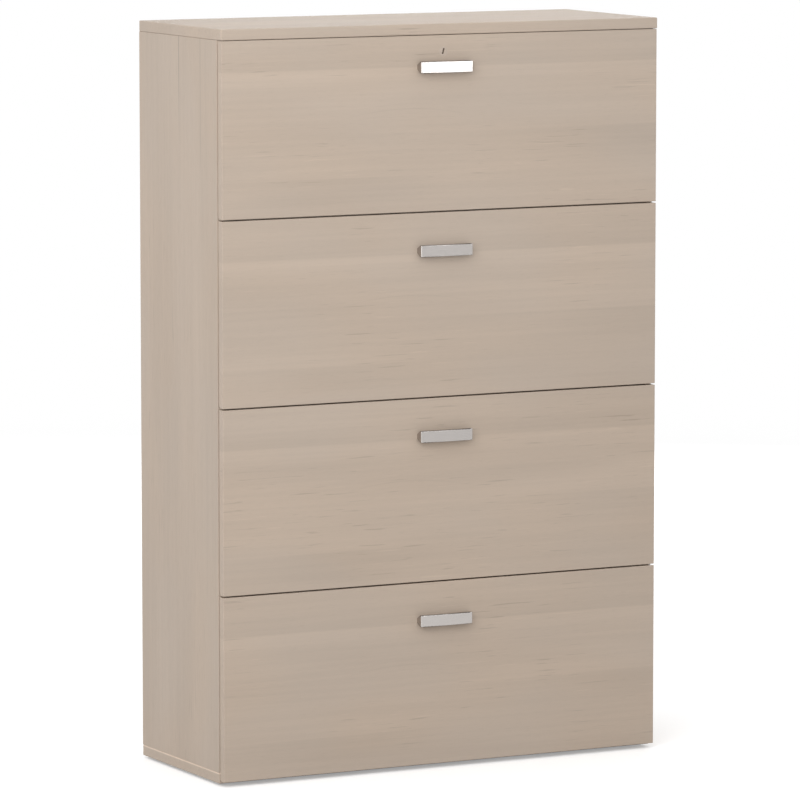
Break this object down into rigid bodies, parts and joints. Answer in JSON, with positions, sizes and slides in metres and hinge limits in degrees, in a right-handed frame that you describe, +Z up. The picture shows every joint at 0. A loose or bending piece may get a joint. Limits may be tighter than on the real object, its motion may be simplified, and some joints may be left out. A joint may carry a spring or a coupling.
{
  "type": "shoe cabinet",
  "caption": "Tall shoe cabinet in pale wood laminate with stacked full-width tilt-out flaps, bowed metal pulls and a lock on the top flap.",
  "frame": {"origin": "on the floor, midway between the sides and midway between the handles' faces and the back", "axes": "+Z up, the fronts face -Y, +X to the right seen from the front"},
  "size_m": [0.98, 0.4, 1.5],
  "materials": {
    "laminate": "matt wood-grain laminate",
    "back_board": "matt printed board",
    "bin_board": "matt melamine board",
    "satin_metal": "satin",
    "zinc_steel": "zinc plated",
    "cam_zinc": "die-cast zinc alloy",
    "grey_powder_coat": "fine powder coat",
    "black_plastic": "matt moulded",
    "white_nylon": "satin moulded",
    "clear_rubber": "soft translucent",
    "lock_metal": "satin, coated in the laminate's tone"
  },
  "bodies": {
    "carcass": {"side_panel_left": "laminate", "side_panel_right": "laminate", "top_panel": "laminate", "bottom_panel": "laminate", "back_panel": "back_board", "cross_rail_1": "laminate", "cross_rail_2": "laminate", "cross_rail_3": "laminate", "wall_rail": "laminate", "cam_bolts": "zinc_steel", "cam_housings": "cam_zinc", "hinge_brackets": "zinc_steel", "hinge_pins": "zinc_steel", "bracket_screws": "zinc_steel", "back_screws": "zinc_steel", "stop_studs": "zinc_steel", "flap_bumpers": "clear_rubber", "floor_glides": "black_plastic", "lock_strike": "zinc_steel"},
    "flap_1": {"flap_1_front": "laminate", "flap_1_handle": "satin_metal", "flap_1_handle_screws": "zinc_steel", "flap_1_side_plates": "grey_powder_coat", "flap_1_floor_board": "bin_board", "flap_1_divider_board": "bin_board", "flap_1_back_board": "bin_board", "flap_1_plate_screws": "zinc_steel", "flap_1_pivot_bushes": "white_nylon", "lock_housing": "lock_metal", "lock_nut": "zinc_steel"},
    "flap_2": {"flap_2_front": "laminate", "flap_2_handle": "satin_metal", "flap_2_handle_screws": "zinc_steel", "flap_2_side_plates": "grey_powder_coat", "flap_2_floor_board": "bin_board", "flap_2_divider_board": "bin_board", "flap_2_back_board": "bin_board", "flap_2_plate_screws": "zinc_steel", "flap_2_pivot_bushes": "white_nylon"},
    "flap_3": {"flap_3_front": "laminate", "flap_3_handle": "satin_metal", "flap_3_handle_screws": "zinc_steel", "flap_3_side_plates": "grey_powder_coat", "flap_3_floor_board": "bin_board", "flap_3_divider_board": "bin_board", "flap_3_back_board": "bin_board", "flap_3_plate_screws": "zinc_steel", "flap_3_pivot_bushes": "white_nylon"},
    "flap_4": {"flap_4_front": "laminate", "flap_4_handle": "satin_metal", "flap_4_handle_screws": "zinc_steel", "flap_4_side_plates": "grey_powder_coat", "flap_4_floor_board": "bin_board", "flap_4_divider_board": "bin_board", "flap_4_back_board": "bin_board", "flap_4_plate_screws": "zinc_steel", "flap_4_pivot_bushes": "white_nylon"},
    "lock": {"lock_plug": "lock_metal", "lock_cam": "zinc_steel"}
  },
  "joints": [
    {"name": "flap_1_tilt", "type": "hinge", "parent": "carcass", "child": "flap_1", "pos_m": [0, -0.1725, 1.13731], "axis": [1, 0, 0], "range_deg": [0, 45]},
    {"name": "flap_2_tilt", "type": "hinge", "parent": "carcass", "child": "flap_2", "pos_m": [0, -0.1725, 0.76506], "axis": [1, 0, 0], "range_deg": [0, 45]},
    {"name": "flap_3_tilt", "type": "hinge", "parent": "carcass", "child": "flap_3", "pos_m": [0, -0.1725, 0.39281], "axis": [1, 0, 0], "range_deg": [0, 45]},
    {"name": "flap_4_tilt", "type": "hinge", "parent": "carcass", "child": "flap_4", "pos_m": [0, -0.1725, 0.02056], "axis": [1, 0, 0], "range_deg": [0, 45]},
    {"name": "lock_turn", "type": "hinge", "parent": "flap_1", "child": "lock", "pos_m": [0, -0.18, 1.445], "axis": [0, 1, 0], "range_deg": [0, 90]}
  ]
}
